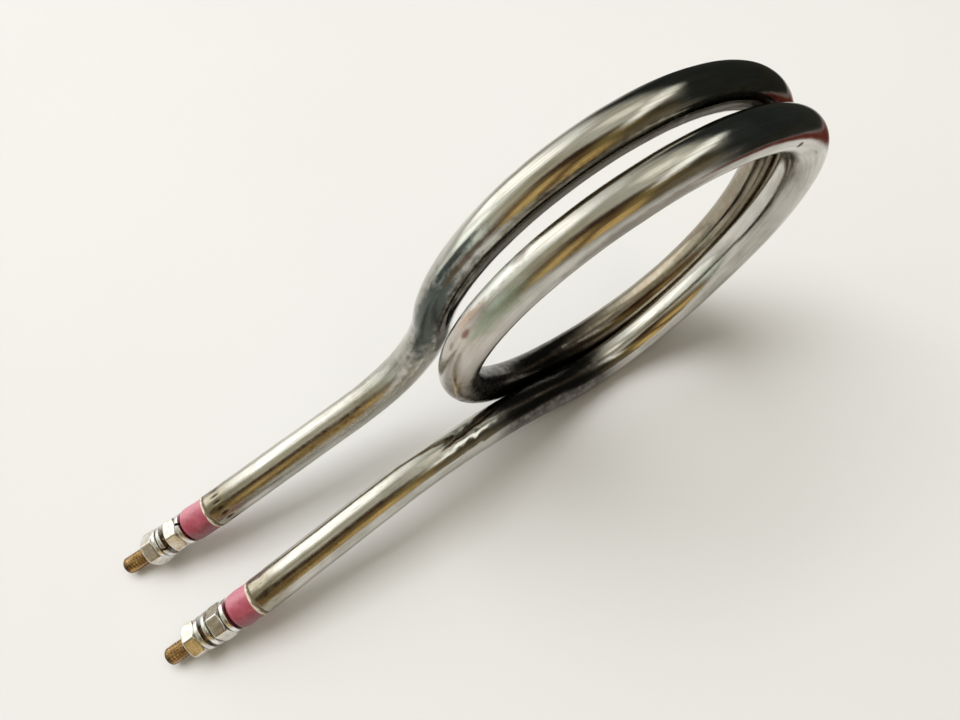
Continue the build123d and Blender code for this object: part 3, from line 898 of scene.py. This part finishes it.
def seal_bead(name, side):
    """Cream bead between the tube's rim and the plug: a wedge, thicker where the terminal
    leans away, with an uneven outer face."""
    o, x, y, z = placed(side)
    out = MOUTH[side][1]
    n = 120
    th = np.linspace(0, 2 * np.pi, n, endpoint=False)
    lumps = waves(hash_of(name), 12, 1.8, 0.030)
    d = np.cos(th)[:, None] * x + np.sin(th)[:, None] * y
    # height at which each ray meets the mouth plane, measured along the terminal's axis
    verts, loc, part = [], [], []
    outline = [(2.4, 0.0, 0), (3.2, 0.0, 0), (3.72, 0.02, 0), (3.88, 0.12, 0), (3.92, 0.26, 0), (3.94, 0.38, 0),
               (3.96, 0.5, 0), (3.96, 0.68, 0), (3.93, 0.85, 0), (3.84, 0.98, 0), (3.6, 1.0, 0), (2.4, 1.0, 0)]
    for r, f, _ in outline:
        p0 = r * d
        low = -(p0 @ out) / (z @ out)
        h = low * (1 - f) + (BEAD_T + 0.03) * f
        q = np.c_[r * np.cos(th), r * np.sin(th), h]
        rr = r + (lumps(q) if r > 3.5 else 0 * th)
        rr = np.minimum(rr, 3.985)
        verts.append(o + rr[:, None] * d + h[:, None] * z)
        loc.append(np.c_[rr * np.cos(th), rr * np.sin(th), h])
        part.append(np.full(n, f))
    faces = [f[::-1] for f in rings_to_faces(len(outline), n, True)]
    ob = make_mesh(name, np.vstack(verts), faces, np.vstack(loc))
    a = ob.data.attributes.new("across", "FLOAT", "POINT")
    a.data.foreach_set("value", np.concatenate(part).astype(np.float32))
    ob.data.materials.append(BEAD)
    return ob


TOWARD = {"a": -30.7, "b": -22.5}            # the side of each terminal that shows its marks

made = {"sheath_tube": sheath()}
for side in "ab":
    k, turn = STACK[side], TURN[side]
    made["terminal_pin_" + side] = stud("stud_" + side, side)
    made["seal_bead_" + side] = seal_bead("bead_" + side, side)
    made["end_seal_" + side] = end_seal("seal_" + side, side)
    made["inner_spring_washer_" + side] = spring_washer("lock_ring_in_" + side, side, k["spring_in"], turn["spring_in"])
    made["inner_nut_" + side] = nut("hex_nut_in_" + side, side, k["nut_in"], turn["nut_in"])
    made["flat_washer_" + side] = flat_washer("plain_ring_" + side, side, k["flat"])
    made["outer_spring_washer_" + side] = spring_washer("lock_ring_out_" + side, side, k["spring_out"], turn["spring_out"])
    made["outer_nut_" + side] = nut("hex_nut_out_" + side, side, k["nut_out"], turn["nut_out"])

for node, ob in made.items():
    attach(ob, "root")
    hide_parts(node)
for node, mat in (("magnesia_fill", MAGNESIA), ("resistance_coil", WINDING)):
    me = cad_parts[node].data
    me.materials.clear()
    me.materials.append(mat)

# ------------------------------------------------------------------ floor, light, camera
bpy.ops.mesh.primitive_circle_add(vertices=128, radius=6.0, fill_type="NGON", location=(0, 0, 0))
floor = bpy.context.object
floor.name = "studio_floor"
floor.data.materials.append(floor_material())
floor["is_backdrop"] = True

scene = bpy.context.scene
scene.view_settings.view_transform = "Standard"
scene.view_settings.look = "None"

world = bpy.data.worlds.new("studio")
scene.world = world
world.use_nodes = True
t = Tree(world.node_tree)
out = t.n("ShaderNodeOutputWorld")
direction = t.vmath("NORMALIZE", t.n("ShaderNodeTexCoord").outputs["Generated"])
wobble = t.n("ShaderNodeTexNoise", ins={"Vector": direction, "Scale": 2.6, "Detail": 3.0, "Roughness": 0.55})
offset = t.vmath("MULTIPLY", t.vmath("SUBTRACT", wobble.outputs[1], (0.5, 0.5, 0.5)), (0.14, 0.14, 0.14))
direction = t.vmath("NORMALIZE", t.vmath("ADD", direction, offset))


def toward(az, el):
    a, e = math.radians(az), math.radians(el)
    return np.array([math.cos(e) * math.cos(a), math.cos(e) * math.sin(a), math.sin(e)])


# soft panels and dark flags round the set:
# azimuth, elevation, half width, half height (deg), tilt (deg), edge softness, colour, strength
LAMP_W = 16.0
AMBIENT = rgb(150, 149, 141)
AMBIENT_LOW = tuple(1.45 * x for x in rgb(146, 146, 139)[:3]) + (1.0,)
AMBIENT_HIGH = tuple(1.45 * x for x in rgb(172, 170, 157)[:3]) + (1.0,)
PANELS = [
    (-163, 45, 26, 24, 0, 0.6, (172, 166, 146), 1.5, 0.8),
    (-112, 26, 43, 31, 0, 0.40, (104, 86, 55), 1.5, 0.98),
    (-70, 36, 24, 20, 0, 0.5, (60, 55, 40), 1.5, 1.0),
    (-108, 53, 34, 11, 0, 0.45, (58, 42, 30), 1.5, 1.0),
    (-66, 8, 15, 20, 0, 0.55, (98, 88, 68), 1.45, 0.85),
    (8, 11, 61, 44, 0, 0.28, (36, 39, 37), 1.45, 1.0),
    (-86, 42, 12, 13, -35, 0.6, (132, 116, 70), 1.4, 0.75),
    (-96, 10, 10, 17, -8, 0.55, (188, 158, 100), 1.5, 1.0),
    (-127, 12, 10, 20, -14, 0.55, (184, 156, 100), 1.5, 1.0),
    (-112, 24, 6, 24, -10, 0.6, (90, 70, 42), 1.5, 0.85),
    (-34, 59, 28, 7, 5, 0.42, (238, 238, 230), 1.8, 1.0),
    (30, 78, 14, 10, 0, 0.6, (222, 219, 206), 1.7, 0.9),
    (168, 44, 18, 20, 0, 0.6, (140, 135, 108), 1.45, 0.6),
    (122, 25, 36, 33, -22, 0.40, (238, 240, 232), 1.38, 1.0),
    (116, 30, 15, 26, -22, 0.6, (255, 253, 247), 2.2, 0.95),
    (-178, 4, 15, 12, 0, 0.6, (198, 206, 194), 1.5, 0.9),
]
colour = AMBIENT
el = t.n("ShaderNodeSeparateXYZ", ins={"Vector": direction}).outputs[2]
colour = t.mix(t.remap(el, -0.1, 1.0), AMBIENT_LOW, AMBIENT_HIGH)
for az, ev, hw, hh, tilt, soft, col, power, amount in PANELS:
    c = toward(az, ev)
    right = unit(np.cross((0, 0, 1), c))
    up = np.cross(c, right)
    a = math.radians(tilt)
    u = math.cos(a) * right + math.sin(a) * up
    v = -math.sin(a) * right + math.cos(a) * up
    dc = t.math("MAXIMUM", t.vmath("DOT_PRODUCT", direction, tuple(c)), 0.02)
    du = t.math("DIVIDE", t.vmath("DOT_PRODUCT", direction, tuple(u)), dc)
    dv = t.math("DIVIDE", t.vmath("DOT_PRODUCT", direction, tuple(v)), dc)
    du = t.math("DIVIDE", du, math.tan(math.radians(hw)))
    dv = t.math("DIVIDE", dv, math.tan(math.radians(hh)))
    d2 = t.math("ADD", t.math("POWER", t.math("ABSOLUTE", du), 2.6), t.math("POWER", t.math("ABSOLUTE", dv), 2.6))
    mask = t.remap(t.math("POWER", d2, 1 / 2.6), 1 - soft, 1 + soft, amount, 0.0)
    front = t.remap(t.vmath("DOT_PRODUCT", direction, tuple(c)), 0.05, 0.25)
    mask = t.math("MULTIPLY", mask, front)
    lit = tuple(x * power for x in rgb(*col)[:3]) + (1.0,)
    colour = t.mix(mask, colour, lit)
bg = t.n("ShaderNodeBackground", ins={"Color": colour, "Strength": 1.0})
plain = t.n("ShaderNodeBackground", ins={"Color": rgb(226, 222, 219), "Strength": 1.0})
ray = t.n("ShaderNodeLightPath")
pick = t.n("ShaderNodeMixShader", ins={0: ray.outputs["Is Camera Ray"]})
t.t.links.new(bg.outputs[0], pick.inputs[1])
t.t.links.new(plain.outputs[0], pick.inputs[2])
t.t.links.new(pick.outputs[0], out.inputs[0])

lamp = bpy.data.lights.new("overhead_soft", "AREA")
lamp.shape = "RECTANGLE"
lamp.size, lamp.size_y = 1.3, 1.0
lamp.energy = LAMP_W
lamp.color = (0.97, 0.98, 1.0)
lamp_ob = bpy.data.objects.new("overhead_soft", lamp)
lamp_ob.location = (-0.15, 0.55, 1.5)
lamp_ob.rotation_euler = (math.radians(-20), math.radians(-6), 0)
lamp_ob.visible_glossy = False
scene.collection.objects.link(lamp_ob)

cam = bpy.data.cameras.new("camera")
cam.sensor_fit = "HORIZONTAL"
cam.sensor_width = 36.0
cam.lens = 26.4877
cam.clip_start = 0.005
cam.clip_end = 30.0
cam_ob = bpy.data.objects.new("camera", cam)
scene.collection.objects.link(cam_ob)
right, down, ahead = ((0.832541, -0.551224, -0.055029), (-0.496397, -0.698241, -0.515799), (0.245897, 0.456740, -0.854940))
from mathutils import Matrix
cam_ob.matrix_world = Matrix(((right[0], -down[0], -ahead[0], -0.031062),
                              (right[1], -down[1], -ahead[1], -0.066867),
                              (right[2], -down[2], -ahead[2], 0.156386),
                              (0, 0, 0, 1)))
scene.camera = cam_ob

size_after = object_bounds()
plain_list = lambda b: [[float(c) for c in p] for p in b]
{"before": plain_list(size_before), "after": plain_list(size_after)}
